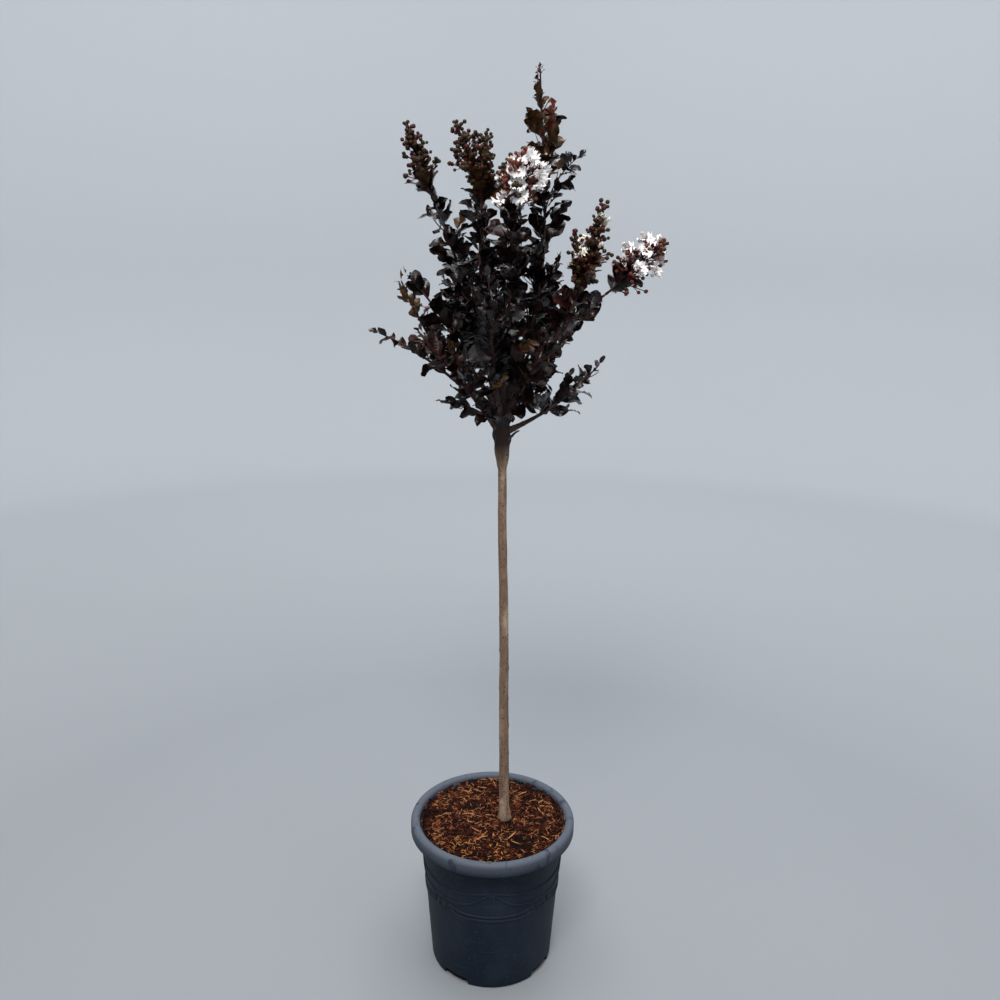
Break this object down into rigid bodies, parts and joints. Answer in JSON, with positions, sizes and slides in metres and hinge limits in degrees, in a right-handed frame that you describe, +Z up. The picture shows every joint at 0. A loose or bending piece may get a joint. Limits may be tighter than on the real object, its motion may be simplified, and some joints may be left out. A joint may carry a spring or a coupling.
{
  "type": "potted crape myrtle tree",
  "caption": "Young crape myrtle grown as a small standard: slim bare trunk, upright crown of dark maroon leaves, panicles of buds and white blossom, in a filled nursery pot.",
  "frame": {"origin": "centre of the pot's flat underside, which stands on the ground", "axes": "+Z up, along the trunk; +X to the side with the long flowering shoot; +Y towards the back of the crown"},
  "size_m": [0.4029, 0.3167, 1.3821],
  "materials": {
    "pot": "satin moulded",
    "mix": "loose fibrous",
    "bark": "fine rough bark",
    "bough": "smooth young bark",
    "dark_leaf": "waxy leaf",
    "bronze_leaf": "waxy leaf",
    "bud": "smooth matt",
    "blossom": "soft matt"
  },
  "bodies": {
    "root": {"bough_back": "bough", "bough_back_left": "bough", "bough_back_low": "bough", "bough_back_low_left": "bough", "bough_back_low_right": "bough", "bough_back_right": "bough", "bough_far_right": "bough", "bough_front": "bough", "bough_front_blossom": "bough", "bough_front_right": "bough", "bough_leader": "bough", "bough_left": "bough", "bough_left_front": "bough", "bough_left_low_front": "bough", "bough_low_left": "bough", "bough_low_right": "bough", "bough_right": "bough", "bough_tall_left": "bough", "bough_tall_middle": "bough", "foliage_back": "dark_leaf", "foliage_back_left": "dark_leaf", "foliage_back_low": "dark_leaf", "foliage_back_low_left": "dark_leaf", "foliage_back_low_right": "dark_leaf", "foliage_back_right": "dark_leaf", "foliage_far_right": "dark_leaf", "foliage_foot_back": "dark_leaf", "foliage_foot_front": "dark_leaf", "foliage_foot_left": "dark_leaf", "foliage_foot_right": "dark_leaf", "foliage_front": "dark_leaf", "foliage_front_blossom": "dark_leaf", "foliage_front_right": "dark_leaf", "foliage_leader": "bronze_leaf", "foliage_left": "bronze_leaf", "foliage_left_front": "dark_leaf", "foliage_left_low_front": "dark_leaf", "foliage_low_left": "dark_leaf", "foliage_low_right": "dark_leaf", "foliage_right": "dark_leaf", "foliage_tall_left": "dark_leaf", "foliage_tall_middle": "dark_leaf", "panicle_back": "bud", "panicle_far_right": "blossom", "panicle_front_blossom": "blossom", "panicle_right": "bud", "panicle_tall_left": "bud", "panicle_tall_middle": "bud", "pot": "pot", "potting_mix": "mix", "trunk": "bark"}
  },
  "joints": []
}
